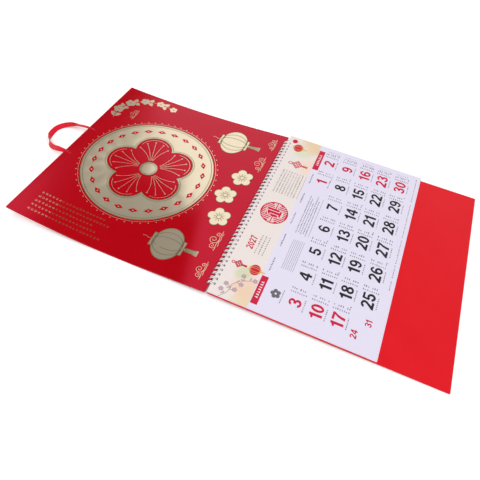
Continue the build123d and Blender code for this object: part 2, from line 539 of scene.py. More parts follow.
def uncoatedPaper():
    # white offset paper, a little blue in the light, with a fine fibre grain
    look = {
        "colour": "E2DCF1",
        "warm": "E6E0F0",
        "cloud": 90,
        "fibre": 0.45,      # flocks of fibres; single ones would not show
    }
    material, tree, shader = newMaterial("offsetPaper")
    where = addNode(tree, "ShaderNodeTexCoord", {})
    cloud = addNode(tree, "ShaderNodeTexNoise", {
        "Vector": where.outputs["Object"], "Scale": perMm(look["cloud"]), "Detail": 2.0})
    tint = addNode(tree, "ShaderNodeMix", {
        "Factor": cloud.outputs["Fac"], "A": linear(look["colour"]), "B": linear(look["warm"])},
        data_type="RGBA")
    fibre = addNode(tree, "ShaderNodeTexNoise", {
        "Vector": where.outputs["Object"], "Scale": perMm(look["fibre"]), "Detail": 4.0})
    bump = addNode(tree, "ShaderNodeBump", {
        "Strength": 0.2, "Distance": 0.02 * mm, "Height": fibre.outputs["Fac"]})
    setInputs(tree, shader, {
        "Base Color": tint.outputs["Result"], "Normal": bump.outputs["Normal"],
        "Roughness": 0.6, "IOR": 1.45})
    return material


def makePad():
    random.seed(27)
    step = pad["thickness"] / pad["leaves"]
    leaves = []
    for k in range(pad["leaves"]):
        last = k == pad["leaves"] - 1
        short = [0 if last else random.random() * pad["spread"] for _ in range(3)]
        sheet = punchedSheet(padLeft + short[0], padHigh.x - short[1], pad["bottom"] + short[2],
                             pad["top"], pad["holes"], pad["cell"], pad["corner"])
        bottom = pad["start"] + k * step
        leaves.append(slab(sheet, basePlace, bottom, bottom + step - (0 if last else pad["leafGap"])))
    piece = meshPiece("month_pad_leaves", joined(leaves), uncoatedPaper(), "pad")
    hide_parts("month_pad")


makePad()
print("pad made")

# Twin loop wire: a flat comb of fingers, rolled into rings
wire = {
    "gauge": 1.25,          # steel wire with its thick coat
    "ring": 5.06,           # to the middle of the wire
    "finger": 2.25,         # between a finger's two wires
    "spine": -10.0,         # angle of the spine, just below the hanging board
    "tip": 333.0,           # angle of the finger tips, round to just below the spine
    "corner": 1.1,          # bend from the spine into a finger
    "armPoints": 24,
}


def bow(x, y, across, along, start, end, count=14):
    # points of an elliptical arc, angles in degrees
    angles = [radians(start + (end - start) * k / count) for k in range(count + 1)]
    return [(x + across * cos(a), y + along * sin(a)) for a in angles]


def combLine():
    # the whole wire laid flat: across, and along the ring
    half = wire["finger"] / 2
    corner = wire["corner"]
    reach = radians(wire["tip"] - wire["spine"]) * wire["ring"]
    arm = reach - half - corner
    count = wire["armPoints"]
    heights = [corner + arm * k / count for k in range(1, count)]
    line = []
    for middle in loopMiddles:
        line += bow(middle - half - corner, corner, corner, corner, -90, 0, 4)
        line += [(middle - half, height) for height in heights]
        line += bow(middle, reach - half, half, half, 180, 0, 6)
        line += [(middle + half, height) for height in reversed(heights)]
        line += bow(middle + half + corner, corner, corner, corner, 180, 270, 4)
    return line


def nylonCoat():
    # white nylon over steel wire: smooth plastic with a soft gloss
    look = {"colour": "FCFCFC", "dip": 0.8}
    material, tree, shader = newMaterial("nylonCoatedWire")
    where = addNode(tree, "ShaderNodeTexCoord", {})
    dip = addNode(tree, "ShaderNodeTexNoise", {
        "Vector": where.outputs["Object"], "Scale": perMm(look["dip"]), "Detail": 2.0})
    gloss = addNode(tree, "ShaderNodeMapRange", {
        "Value": dip.outputs["Fac"], "To Min": 0.4, "To Max": 0.6})
    setInputs(tree, shader, {
        "Base Color": linear(look["colour"]), "Roughness": gloss.outputs["Result"], "IOR": 1.53})
    return material


def makeWire():
    curve = bpy.data.curves.new("binding_wire", "CURVE")
    curve.dimensions = "3D"
    curve.bevel_depth = wire["gauge"] / 2 * mm
    curve.bevel_resolution = 2
    curve.use_fill_caps = True
    line = combLine()
    spline = curve.splines.new("POLY")
    spline.points.add(len(line) - 1)
    for point, (x, along) in zip(spline.points, line):
        angle = radians(wire["spine"]) + along / wire["ring"]
        place = Vector((x, wire["ring"] * cos(angle), wireZ + wire["ring"] * sin(angle))) * mm
        point.co = (*place, 1)
    curve.materials.append(nylonCoat())
    piece = bpy.data.objects.new("binding_wire", curve)
    scene.collection.objects.link(piece)
    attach(piece, "hanger")
    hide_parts("wire_binding")


makeWire()
print("wire made")


# Flat work: foil and ink are thin solid shapes laid on a card or leaf
def oval(x, y, across, along=None, count=40):
    return bow(x, y, across, along or across, 0, 360, count)[:-1]


def box(left, low, right, high):
    return [(left, low), (right, low), (right, high), (left, high)]


def closed(outline):
    return outline + outline[:1]


def mirrored(lines):
    return [[(-x, y) for x, y in line] for line in lines]


def outward(x, y, way, reach):
    # the point that far from a middle, in a direction in degrees
    return x + reach * cos(radians(way)), y + reach * sin(radians(way))


def blossom(x, y, ring, petal, first=90, count=5):
    # outline of round petals whose middles lie on a ring
    half = radians(180 / count)
    meet = ring * cos(half) + sqrt(petal ** 2 - (ring * sin(half)) ** 2)
    swing = degrees(atan2(meet * sin(half), meet * cos(half) - ring))
    points = []
    for k in range(count):
        way = first + 360 * k / count
        points += bow(*outward(x, y, way, ring), petal, petal, way - swing, way + swing)[:-1]
    return points


def leafShape(x, y, way, length, width):
    # a pointed leaf from its stalk
    points = []
    for side in (1, -1):
        for k in range(8):
            share = k / 8 if side > 0 else 1 - k / 8
            px, py = outward(x, y, way, length * share)
            points.append(outward(px, py, way + 90, side * width / 2 * sin(radians(180 * share)) ** 0.8))
    return points


def scroll(x, y, radius, start, turns, core=0.15):
    # a spiral that winds in to its middle
    count = int(abs(turns) * 20)
    return [outward(x, y, start + 360 * turns * k / count, radius * (1 - (1 - core) * k / count))
            for k in range(count + 1)]


def smoothLine(points):
    # a line through given points, eased at each
    line = []
    for k in range(len(points) - 1):
        before, here = points[max(k - 1, 0)], points[k]
        there, after = points[k + 1], points[min(k + 2, len(points) - 1)]
        for j in range(8):
            t = j / 8
            line.append(tuple(
                b + 0.5 * t * (c - a + t * (2 * a - 5 * b + 4 * c - d + t * (3 * (b - c) + d - a)))
                for a, b, c, d in zip(before, here, there, after)))
    return line + [points[-1]]


def cloudLines(x, y, size):
    # a trailing cloud: three scrolls on a long low line
    lines = [
        scroll(x, y, size, 270, 1.5),
        scroll(x + size * 1.5, y - size * 0.3, size * 0.7, 270, 1.4),
        scroll(x - size * 1.3, y - size * 0.45, size * 0.55, 270, -1.3),
    ]
    # the long lines: right end, step, drop, height and rate of their waves, points
    for right, step, low, wave, rate, count in [(2.6, 0.3, 1.0, 0.07, 0.9, 18),
                                                (1.4, 0.25, 1.28, 0.06, 1.1, 14)]:
        lines.append([(x + size * (right - step * k), y - size * (low + wave * sin(k * rate)))
                      for k in range(count)])
    return lines


def turned(outline):
    # twice the area of an outline, below zero where it runs clockwise
    return sum(x0 * y1 - x1 * y0 for (x0, y0), (x1, y1) in zip(outline, closed(outline)[1:]))


def prisms(shapes, place, bottom, top):
    # solid flat shapes, each given as an outline and then its holes
    points, faces = [], []
    for rings in shapes:
        rings = [ring if (turned(ring) > 0) == (k == 0) else ring[::-1] for k, ring in enumerate(rings)]
        flat = [point for ring in rings for point in ring]
        start, count = len(points), len(flat)
        points += [place(x, y, height) for height in (bottom, top) for x, y in flat]
        for corners in tessellate_polygon([[Vector((x, y, 0)) for x, y in ring] for ring in rings]):
            if turned([flat[k] for k in corners]) < 0:
                corners = corners[::-1]
            faces += [[start + count + k for k in corners], [start + k for k in corners[::-1]]]
        for ring in rings:
            size = len(ring)
            for k in range(size):
                here, there = start + k, start + (k + 1) % size
                faces.append([here, there, there + count, here + count])
            start += size
    return points, faces


def stepped(line, step):
    # the same line with no run longer than a step
    points = line[:1]
    for (x0, y0), (x1, y1) in zip(line, line[1:]):
        parts = max(1, ceil(hypot(x1 - x0, y1 - y0) / step))
        points += [(x0 + (x1 - x0) * k / parts, y0 + (y1 - y0) * k / parts) for k in range(1, parts + 1)]
    return points


def strips(lines, width, place, bottom, top, step=5):
    # thin solid strips along lines; a line that ends where it starts is a loop
    points, faces = [], []
    for line in lines:
        loop = hypot(line[0][0] - line[-1][0], line[0][1] - line[-1][1]) < 1e-6
        path = [Vector(point) for point in stepped(line, step)]
        path = path[:-1] if loop else path
        count, start = len(path), len(points)
        for k, here in enumerate(path):
            before = path[k - 1] if loop or k else here * 2 - path[1]
            after = path[(k + 1) % count] if loop or k < count - 1 else here * 2 - path[-2]
            ahead = (here - before).normalized() + (after - here).normalized()
            reach = width / 2 / max(0.5, ahead.length / 2)
            side = Vector((-ahead.y, ahead.x)).normalized() * reach
            for point, height in ((side, bottom), (-side, bottom), (-side, top), (side, top)):
                points.append(place(here.x + point.x, here.y + point.y, height))
        for k in range(count if loop else count - 1):
            here, there = start + 4 * k, start + 4 * ((k + 1) % count)
            faces += [[here + (j + 1) % 4, there + (j + 1) % 4, there + j, here + j] for j in range(4)]
        if not loop:
            end = start + 4 * (count - 1)
            faces += [[start + 3, start + 2, start + 1, start], [end, end + 1, end + 2, end + 3]]
    return points, faces


# Foil: the model holds the medallion, lanterns and blossoms; finer lines are stamped with them
foil = {
    "height": 0.15,
    "line": 0.04,           # height of a line above what it lies on
    "medallion": (0, 200),
    "medallionRadius": 115,
    "petal": 32.0,
    "petalRing": 1.42,      # how far out the petals' middles lie, times their radius
    "stamens": [(-27, 0.66), (-13.5, 0.8), (0, 0.86), (13.5, 0.8), (27, 0.66)],     # angle, length
    "lozengeRing": 96.2,
    "lozenges": 24,
    "beads": 60,
    "lantern": (128, 92),
    "lanternSize": (62, 50),
    "lanternRibs": (1, 0.69, 0.36),
    "capHalf": 3,           # the cap reaches that far up and down from the lantern's end
    "threads": (-2, -1, 0, 1, 2),
    "blossoms": [(0, 52.0), (-48, 41.6), (48, 41.6)],
    "blossomRadius": 20.0,
    "outline": 1.0,         # widths of a pressed edge and of a fine line
    "fine": 0.6,
    "clouds": [(92, 30, 8), (150, 26, 6.5), (112, 300, 6)],     # the first two on both sides
    "markColumns": [-166, -157, -148, -139, -130],
    "markRows": (190, 318),
    "markHalf": 1.6,
    "markPitch": 6.2,
    "brightAbove": 286,     # the marks nearest to the free edge catch the light; the others have painted shade
    "branch": [(84, 326), (112, 330), (138, 320), (157, 298), (165, 268), (162, 238)],
}


def stampedFoil():
    # pale gold hot foil: a thin bright film of metal over a pale ground, uneven where it was pressed
    look = {"colour": "F8E7C8", "press": 3.0}
    material, tree, shader = newMaterial("hotStampedFoil")
    where = addNode(tree, "ShaderNodeTexCoord", {})
    press = addNode(tree, "ShaderNodeTexNoise", {
        "Vector": where.outputs["Object"], "Scale": perMm(look["press"]), "Detail": 3.0})
    gloss = addNode(tree, "ShaderNodeMapRange", {
        "Value": press.outputs["Fac"], "To Min": 0.06, "To Max": 0.11})
    bump = addNode(tree, "ShaderNodeBump", {
        "Strength": 0.2, "Distance": 0.03 * mm, "Height": press.outputs["Fac"]})
    setInputs(tree, shader, {
        "Base Color": linear(look["colour"]), "Metallic": 0.7, "Roughness": gloss.outputs["Result"],
        "Normal": bump.outputs["Normal"]})
    return material


def shadedFoilCopy():
    # the foil again, olive and less bright: painted shade, standing in on the pressed outline for the
    # dark that its turned-down edge mirrors, and on the marks away from the free edge
    look = {"colour": "77714C", "press": 1.5}
    material, tree, shader = newMaterial("foilPaintedShade")
    where = addNode(tree, "ShaderNodeTexCoord", {})
    press = addNode(tree, "ShaderNodeTexNoise", {
        "Vector": where.outputs["Object"], "Scale": perMm(look["press"]), "Detail": 3.0})
    gloss = addNode(tree, "ShaderNodeMapRange", {
        "Value": press.outputs["Fac"], "To Min": 0.3, "To Max": 0.5})
    setInputs(tree, shader, {
        "Base Color": linear(look["colour"]), "Metallic": 0.8, "Roughness": gloss.outputs["Result"]})
    return material


def petalVeins():
    # a fan of stamens and an arch over it in each red petal of the medallion
    middle, petal = foil["medallion"], foil["petal"]
    start, tip, arch = petal * 0.62, petal * 1.7, petal * 0.86
    lines = []
    for k in range(5):
        way = 90 + 72 * k
        for swing, reach in foil["stamens"]:
            vein = [outward(*middle, way + swing * (0.35 + 0.65 * j / 8), start + tip * reach * j / 8)
                    for j in range(9)]
            lines += [vein, closed(oval(*vein[-1], 1.0, count=10))]
        x, y = outward(*middle, way, foil["petalRing"] * petal)
        lines.append(bow(x, y, arch, arch, way - 62, way + 62))
    return lines


def lanternLines(x):
    # ribs, two caps and a tassel of threads
    y = foil["lantern"][1]
    half, high = (size / 2 for size in foil["lanternSize"])
    inset = foil["outline"] / 2
    wide, cap = half * 0.4, foil["capHalf"]
    lines = [closed(oval(x, y, half * share - inset, high - inset)) for share in foil["lanternRibs"]]
    for end in (y - high, y + high):
        lines.append(closed(box(x - wide, end - cap, x + wide, end + cap)))
    lines += [[(x + d * 1.5, y - high - 5), (x + d * 1.8, y - high - 26)] for d in foil["threads"]]
    return lines


def makeFoilMarks(gold, olive):
    # short columns of dashes, each mark a little different
    random.seed(5)
    low, high = foil["markRows"]
    half = foil["markHalf"]
    bright, shadedMarks = [], []
    for column, x in enumerate(foil["markColumns"]):
        y = high
        while y > low + 14 * (column % 3):
            size = 2.4 + random.random() * 1.2
            side = 0.5 + random.random()
            # marks away from the free edge take the darker foil copy: painted shade
            marks = bright if y > foil["brightAbove"] else shadedMarks
            marks.append([box(x - half, y - size, x + half, y - size + 0.6)])
            marks.append([box(x - side, y - size + 1.1, x - side + 0.8, y)])
            marks.append([box(x + 0.4, y - 0.9, x + half, y - 0.2)])
            y -= foil["markPitch"]
    card = boards["thickness"]
    for name, marks, material in [("foil_marks", bright, gold), ("foil_marks_painted_shade", shadedMarks, olive)]:
        shape = prisms(marks, hangingPlace, card, card + foil["line"])
        meshPiece(name, shape, material, "hanger")


def branchShapes():
    # a flowering branch with leaves in pairs
    shapes = []
    branch = foil["branch"]
    for k, ((x0, y0), (x1, y1)) in enumerate(zip(branch, branch[1:])):
        way = degrees(atan2(y1 - y0, x1 - x0))
        for side in (-1, 1):
            shapes.append([leafShape(*outward(x0, y0, way, 5), way + side * 42, 15, 5)])
            shapes.append([leafShape(*outward(x0, y0, way, 12), way + side * 62, 9, 3.6)])
        # the blossoms grow smaller towards the tip
        petals = blossom(x1, y1, 6.0 - 0.4 * k, 4.4 - 0.3 * k, 90 + 20 * k)
        shapes.append([petals, oval(x1, y1, 1.6, count=12)])
    return shapes


def makeFoilWork():
    card, line = boards["thickness"], foil["line"]
    middle, radius, petal = foil["medallion"], foil["medallionRadius"], foil["petal"]
    ring = foil["petalRing"] * petal
    reach = foil["blossomRadius"]
    gold, olive = stampedFoil(), shadedFoilCopy()
    node = frame["nodes"]["gold_foil"]
    node.data.materials.clear()
    node.data.materials.append(gold)

    fine = petalVeins() + [closed(oval(*middle, radius + 3.2, count=96)), smoothLine(foil["branch"])]
    for x, y, size in foil["clouds"]:
        fine += cloudLines(x, y, size)
    for x, y, size in foil["clouds"][:2]:
        fine += mirrored(cloudLines(x, y, size))
    for side in (-1, 1):
        # the cord that a lantern hangs by
        x, y = side * foil["lantern"][0], foil["lantern"][1]
        fine.append([(x, y + 28), (x - 1, y + 33), (x + 1, y + 38), (x, y + 43)])
    stamped = strips(fine, foil["fine"], hangingPlace, card, card + line)
    meshPiece("foil_lines", stamped, gold, "hanger")

    edges = [closed(oval(*middle, radius - inset, count=120)) for inset in (0.4, 4.2)]
    edges += [closed(blossom(*middle, ring, petal + outset)) for outset in (0.5, 3.4)]
    edges += [closed(oval(*middle, petal / 2 - inset)) for inset in (0.4, 3.0)]
    edges += lanternLines(foil["lantern"][0]) + lanternLines(-foil["lantern"][0])
    for x, y in foil["blossoms"]:
        edges.append(closed(blossom(x, y, reach * 0.58, reach * 0.42 - 0.4)))
        edges.append(closed(oval(x, y, reach * 0.2, count=16)))
        edges += [[outward(x, y, 90 + 36 * k, reach * share) for share in (0.26, 0.46)]
                  for k in range(10)]
    top = card + foil["height"]
    # the pressed outlines take the darker foil copy: a painted dark reflection
    pressed = strips(edges, foil["outline"], hangingPlace, top, top + line)
    meshPiece("foil_edges", pressed, olive, "hanger")

    dots = [[oval(*outward(*middle, 360 * k / foil["lozenges"], foil["lozengeRing"]), 1.5, count=12)]
            for k in range(foil["lozenges"])]
    dots += [[oval(*outward(*middle, 360 * k / foil["beads"], radius + 6.4), 1.0, count=10)]
             for k in range(foil["beads"])]
    sprigs = prisms(dots + branchShapes(), hangingPlace, card, card + line)
    meshPiece("foil_sprigs", sprigs, gold, "hanger")
    makeFoilMarks(gold, olive)


makeFoilWork()
print("foil stamped")

# Numbers: a bold narrow sans; each has its room across, then its outline and its holes
drawnHigh = 18.7
numbers = {
    "0": (13.6, [oval(0, 0, 6.4, 9.45), oval(0, 0, 2.2, 6.2)]),
    "1": (10.2, [[(3.2, 9.35), (3.2, -9.35), (-1.1, -9.35), (-1.1, 3.2), (-4.9, 3.2), (-4.9, 5.9)]
                 + bow(-4.9, 9.35, 4.4, 3.4, -90, 0, 5)]),
    "2": (13.6, [bow(0, 3.9, 6.2, 5.5, 175, -35) + [(0.2, -5.9), (6.2, -5.9), (6.2, -9.35), (-6.4, -9.35)]
                 + [(-6.4, -7.0), (1.2, 1.3)] + bow(0, 3.9, 2.1, 2.3, -45, 175)]),
    "3": (13.6, [bow(0, 4.45, 5.9, 4.95, 172, -48) + bow(0, -3.9, 6.4, 5.5, 52, -172)
                 + bow(0, -3.9, 2.3, 2.4, -172, 90) + [(-1.6, -1.5), (-1.6, 2.2)]
                 + bow(0, 4.45, 2.0, 2.2, -90, 172)]),
    "4": (13.8, [[(0.6, 9.35), (4.8, 9.35), (4.8, -2.1), (6.8, -2.1), (6.8, -5.3), (4.8, -5.3),
                  (4.8, -9.35), (0.7, -9.35), (0.7, -5.3), (-6.7, -5.3), (-6.7, -2.0)],
                 [(0.7, -2.1), (0.7, 4.0), (-3.2, -2.1)]]),
    "5": (13.6, [[(-4.8, 9.35), (5.6, 9.35), (5.6, 6.2), (-2.0, 6.2)] + bow(0, -3.3, 6.4, 6.15, 112, -170)
                 + bow(0, -3.3, 2.3, 2.8, -170, 140) + [(-5.9, -0.7)]]),
    "6": (13.6, [bow(0, 0, 6.4, 9.45, -90, -330, 22) + [(2.2, 4.9)] + bow(0, 3.0, 2.3, 3.3, 40, 172)
                 + bow(0.1, -3.4, 6.3, 6.0, 117, -85)[:-1], oval(0.1, -3.4, 2.2, 2.8)]),
    "7": (13.4, [[(-6.3, 9.35), (6.3, 9.35), (6.3, 6.6), (3.2, 1.2), (1.7, -3.8), (1.0, -9.35),
                  (-3.3, -9.35), (-2.5, -4.0), (-0.9, 1.0), (2.1, 5.9), (-6.3, 5.9)]]),
    "8": (13.6, [bow(0, 4.65, 5.8, 4.8, -50, 230) + bow(0, -4.0, 6.4, 5.45, 130, 410),
                 oval(0, 4.75, 1.9, 1.9), oval(0, -4.0, 2.3, 2.5)]),
}
numbers["9"] = (13.6, [[(-x, -y) for x, y in ring] for ring in numbers["6"][1]])


def figures(words, high, narrow=1.0):
    # outlines of numbers; each word is its text and the middle of its place
    scale = high / drawnHigh
    thin = scale * narrow * 0.97        # leaves a little more air between two figures
    shapes = []
    for word, x, y in words:
        pen = x - sum(numbers[digit][0] for digit in word) * scale * narrow / 2
        for digit in word:
            room, rings = numbers[digit]
            middle = pen + room * scale * narrow / 2
            shapes.append([[(middle + px * thin, y + py * scale) for px, py in ring] for ring in rings])
            pen += room * scale * narrow
    return shapes


# Print on the top leaf: layers of ink, each a little above the one below
page = {
    "inkLift": 0.004,
    "inkLayer": 0.012,
    "inkCover": 1.2,        # size of the patches of thin and full ink
    "columns": [-145.1, -97.1, -48.2, 0.3, 48.7, 98.0, 146.5],
    "rows": [-88, -121.6, -153.8, -184.8, -217],
    "firstDay": 5,          # column of the first day, where the first column is 0
    "days": 31,
    "numberHigh": 18.7,
    "lastSundays": [("24", -156, -210), ("31", -132, -225.6)],      # two small numbers in one place
    "smallNumberHigh": 9.5,
    "headerEnd": -61.8,
    "headerInset": 0.2,
    "headerFields": [       # colour, middle and reach of each soft field
        ("E9CE9E", (-172, -66), 40), ("F0CDB2", (-150, -50), 24), ("CBD6A4", (-130, -38), 15),
        ("E9C58E", (184, -58), 36), ("D9DEBC", (150, -34), 15), ("F3D6C0", (120, -62), 26),
    ],
    "twig": [(-181, -18), (-170, -27), (-156, -29), (-146, -38), (-140, -50)],
    "sprigs": [             # foot of each side shoot and its direction
        (-172, -24, 62), (-160, -28, 70), (-150, -33, -96), (-143, -43, 28), (-165, -28, -70),
        (-140, -50, -70),
    ],
    "lanterns": [(160, -24, 10), (175, -13, 5.5), (-119, -50, 9.5)],
    "ribbedFrom": 6,        # a smaller lantern has no ribs
    "knots": [(118, -36, 9.5), (-119, -24, 6.5)],
    "tags": [(-171.3, -122.3), (120.5, 172.5)],
    "tagRows": (-73.4, -62.9),
    "disc": (-4.2, -37.3),
    "discRadius": 23.0,
    "year": ("2027", -74, -26.5),
    "yearHigh": 11.2,
    "yearNarrow": 0.8,
}
inks = {        # colour where the ink lies full and where it lies thin
    "redInk": ("C8143C", "D01C46"),
    "blackInk": ("1F1B22", "29252C"),
    "whiteInk": ("F3E8E4", "F0E4E0"),
    "greyInk": ("746E7B", "827C88"),
    "darkGreyInk": ("66606A", "746E78"),
    "ochreInk": ("E2B25A", "E8BE6C"),
    "brownInk": ("8A6C66", "96786E"),
    "mauveInk": ("B99AA6", "C4A8B2"),
}


def offsetInk(name, full, thin):
    # litho ink soaked into paper: flat colour with slightly uneven cover, hardly any gloss
    material, tree, shader = newMaterial(name)
    where = addNode(tree, "ShaderNodeTexCoord", {})
    cover = addNode(tree, "ShaderNodeTexNoise", {
        "Vector": where.outputs["Object"], "Scale": perMm(page["inkCover"]), "Detail": 3.0})
    tint = addNode(tree, "ShaderNodeMix", {
        "Factor": cover.outputs["Fac"], "A": linear(full), "B": linear(thin)}, data_type="RGBA")
    setInputs(tree, shader, {
        "Base Color": tint.outputs["Result"], "Roughness": 0.6, "Specular IOR Level": 0.25})
    return material


def headerInk():
    # cream tint that runs out softly into tan, peach and pale green at the two lower corners
    look = {"colour": "ECE1DC", "drift": 16, "ragged": 0.9, "soft": 0.7}
    material, tree, shader = newMaterial("creamInk")
    where = addNode(tree, "ShaderNodeTexCoord", {})
    drift = addNode(tree, "ShaderNodeTexNoise", {
        "Vector": where.outputs["Object"], "Scale": perMm(look["drift"]), "Detail": 2.0})
    colour = linear(look["colour"])
    for shade, (x, y), reach in page["headerFields"]:
        away = addNode(tree, "ShaderNodeVectorMath", {
            0: where.outputs["Object"], 1: padPlace(x, y, 0) * mm}, operation="DISTANCE")
        ragged = addNode(tree, "ShaderNodeMath", {
            0: drift.outputs["Fac"], 1: -reach * look["ragged"] * mm, 2: away.outputs["Value"]},
            operation="MULTIPLY_ADD")
        soft = addNode(tree, "ShaderNodeMapRange", {
            "Value": ragged.outputs[0], "From Min": 0.0, "From Max": reach * look["soft"] * mm,
            "To Min": 0.7, "To Max": 0.0}, interpolation_type="SMOOTHSTEP")
        layer = addNode(tree, "ShaderNodeMix", {
            "Factor": soft.outputs["Result"], "A": colour, "B": linear(shade)}, data_type="RGBA")
        colour = layer.outputs["Result"]
    setInputs(tree, shader, {"Base Color": colour, "Roughness": 0.6, "Specular IOR Level": 0.25})
    return material


def inked(name, shapes, material, layer=1, lines=None, width=0.5):
    # shapes and lines printed as one piece, that many layers up
    low = page["inkLift"]
    high = low + page["inkLayer"] * layer
    parts = [prisms(shapes, padPlace, low, high)]
    if lines:
        parts.append(strips(lines, width, padPlace, low, high + 0.002, 40))
    return meshPiece(name, joined(parts), material, "pad")


def printDates(black, red):
    # the first and last columns and the first day are red
    darkWords, redWords = [], []
    small = [word for word, x, y in page["lastSundays"]]
    for day in range(1, page["days"] + 1):
        place = day + page["firstDay"] - 1
        column, row = place % 7, place // 7
        if row < len(page["rows"]) and str(day) not in small:
            words = redWords if column in (0, 6) or day == 1 else darkWords
            words.append((str(day), page["columns"][column], page["rows"][row]))
    inked("dates_black", figures(darkWords, page["numberHigh"]), black, 2)
    reds = figures(redWords, page["numberHigh"]) + figures(page["lastSundays"], page["smallNumberHigh"])
    inked("dates_red", reds, red, 2)


def lanternPrint(x, y, size):
    # round paper lantern: body, and its cap, foot and tassel
    trim = [[box(x - size * 0.4, y + size * 0.8, x + size * 0.4, y + size * 1.02)],
            [box(x - size * 0.4, y - size * 1.02, x + size * 0.4, y - size * 0.8)],
            [box(x - size * 0.12, y - size * 1.7, x + size * 0.12, y - size)]]
    return [[oval(x, y, size, size * 0.86, 28)]], trim


def knotLines(x, y, size):
    # woven knot: a lattice square on its corner, with a loop above and a tassel below
    half = size * 0.5
    lines = []
    for shift in (-size * 0.3, 0, size * 0.3):
        lines.append([(x - half + shift, y - half - shift), (x + half + shift, y + half - shift)])
        lines.append([(x - half - shift, y + half - shift), (x + half - shift, y - half - shift)])
    lines.append(closed([(x, y - size), (x + size, y), (x, y + size), (x - size, y)]))
    lines.append(closed(oval(x, y + size * 1.35, size * 0.3, size * 0.35, 16)))
    lines += [[(x + d * size * 0.12, y - size), (x + d * size * 0.2, y - size * 2.0)] for d in (-1, 0, 1)]
    return lines


def printHeader(red, white, ochre, brown, mauve):
    inset = page["headerInset"]
    sheet = punchedSheet(padLeft + inset, padHigh.x - inset, page["headerEnd"], pad["top"] - inset,
                         pad["holes"], pad["cell"], pad["corner"] - inset)
    cream = slab(sheet, padPlace, page["inkLift"], page["inkLift"] + page["inkLayer"])
    meshPiece("header_tint", cream, headerInk(), "pad")

    low, high = page["tagRows"]
    inked("day_tags", [[box(start, low, end, high)] for start, end in page["tags"]], red, 2)
    random.seed(3)
    bars = []
    for start, end in page["tags"]:
        middle = (start + end) / 2
        for k in range(7):
            x = middle - 14 + k * 4.3
            bars.append([box(x, low + 3.2, x + 2.2 + random.random(), low + 4.4)])
            bars.append([box(x + 0.6, low + 4.4, x + 1.6 + random.random(), high - 3.2)])
    inked("tag_marks", bars, white, 3)

    flowers, twigs = [], [smoothLine(page["twig"])]
    for k, (x, y, way) in enumerate(page["sprigs"]):
        tip = outward(x, y, way, 8)
        twigs.append([(x, y), tip])
        flowers.append([blossom(*tip, 2.3, 1.7, 90 + 31 * k), oval(*tip, 0.7, count=8)])
        flowers.append([leafShape(x, y, way + 60, 6.5, 2.4)])
    inked("header_twigs", [], brown, 2, twigs, 0.7)
    inked("header_blossoms", flowers, mauve, 3)
    bodies, caps, ribs = [], [], []
    for x, y, size in page["lanterns"]:
        body, cap = lanternPrint(x, y, size)
        bodies += body
        caps += cap
        if size > page["ribbedFrom"]:
            across = size - 0.4
            ribs += [closed(oval(x, y, across * share, across * 0.86, 24)) for share in (0.35, 0.7)]
    knots = [line for knot in page["knots"] for line in knotLines(*knot)]
    inked("header_lanterns", bodies, red, 2, knots, 1.3)
    inked("header_gilding", caps, ochre, 3, ribs, 0.5)


def roundelLines(radius):
    # a fret of nested angles, the same on all four sides, as on old roof tiles
    lines = []
    for k in range(3):
        x = 9.0 + 3.6 * k
        low = 1.6 + 1.8 * k
        angle = [(x, sqrt((radius - 1.5) ** 2 - x ** 2)), (x, low), (radius - 2 - k * 0.4, low)]
        lines += [[(px * across, py * along) for px, py in angle]
                  for across in (-1, 1) for along in (-1, 1)]
    for side in (-1, 1):
        lines += [[(x, side * 14.2), (x, side * (radius - 3.2))] for x in (-5.4, -1.8, 1.8, 5.4)]
        lines.append([(-7, side * 14), (7, side * 14)])
    return lines


def numeralOne(x, y, grow):
    # a figure one with a foot, grown by that much on every side
    foot, ankle, top = -12 - grow, -8.6 + grow, 11.5 + grow
    left = [(-6.2, ankle), (-6.2, foot)]
    right = [(6.2, foot), (6.2, ankle), (2.6, ankle), (2.6, top)]
    flag = [(-0.6, top), (-6.0, 8.8 + grow), (-6.0, 5.6 - grow), (-2.6, 6.8 - grow), (-2.6, ankle)]
    outline = [(px + grow, py) for px, py in right]
    outline += [(px - grow, py) for px, py in flag + left]
    return [(x + px, y + py) for px, py in outline]


def printRoundel(red, white):
    x, y = page["disc"]
    radius = page["discRadius"]
    inked("month_disc", [[oval(x, y, radius, count=72)]], red, 2)
    fret = [[(x + px, y + py) for px, py in line] for line in roundelLines(radius)]
    inked("month_fret", [[numeralOne(x, y, 1.1)]], white, 3, fret, 1.25)
    inked("month_number", [[numeralOne(x, y, 0)]], red, 4)
    inked("year", figures([page["year"]], page["yearHigh"], page["yearNarrow"]), red, 3)


# Fine marks: short uneven bars and a few thin rules; bars are given as pitch, height and gap
fineMarks = {
    "headerRight": (40, -19.7, 8, 5.1, 15, (3.9, 1.8, 0.9)),    # x, y, rows, step down, bars in a row
    "headerLeft": (-91, -38.7, 3, 6, 9, (4.3, 2.0, 1.3)),
    "firstRow": (-27, -82.7, 5, 4.0, 24, (3.6, 1.7, 0.8)),
    "overColumns": (-13, -70.3, 8, (3.2, 2.6, 0.9)),            # from a column's middle
    "underNumbers": (-10, -14.2, 6, (3.5, 1.7, 1.1)),           # from a number's middle
    "besideNumbers": (10.4, 8, 3.2),                            # highest, rows, step down
    "besideColumns": [(15.5, (3.6, 1.7, 0.7)), (21.5, (4.2, 1.7, 0.7))],
    "numberDots": (27, -12),
    "ruled": (-99, -40, -84.2, 7, 2.9),                         # left, right, highest, rules, step down
    "rules": [(-27, 59, -103.2), (40, 96, -60.8), (100, 124, -102.2)],
    "foot": (-67, -242, 9, 27.5, (2.9, 1.3, 0.8)),              # x, y, groups, pitch
    "side": (5, 32, 6, 3.6),                                    # groups, pitch, rows, step down
    "sideColumns": [(171, -82, (3.0, 1.4, 0.6)), (176, -80, (2.4, 1.4, 0.6))],
    "blossom": (-143, -91.5),
}


def smallMarks(x, y, count, across, high, gap):
    # a row of small bars, each a little different
    marks = []
    for k in range(count):
        start = x + k * across
        tall = high * (0.6 + 0.4 * random.random())
        marks.append([box(start, y, start + (across - gap) * (0.6 + 0.4 * random.random()), y + tall)])
    return marks


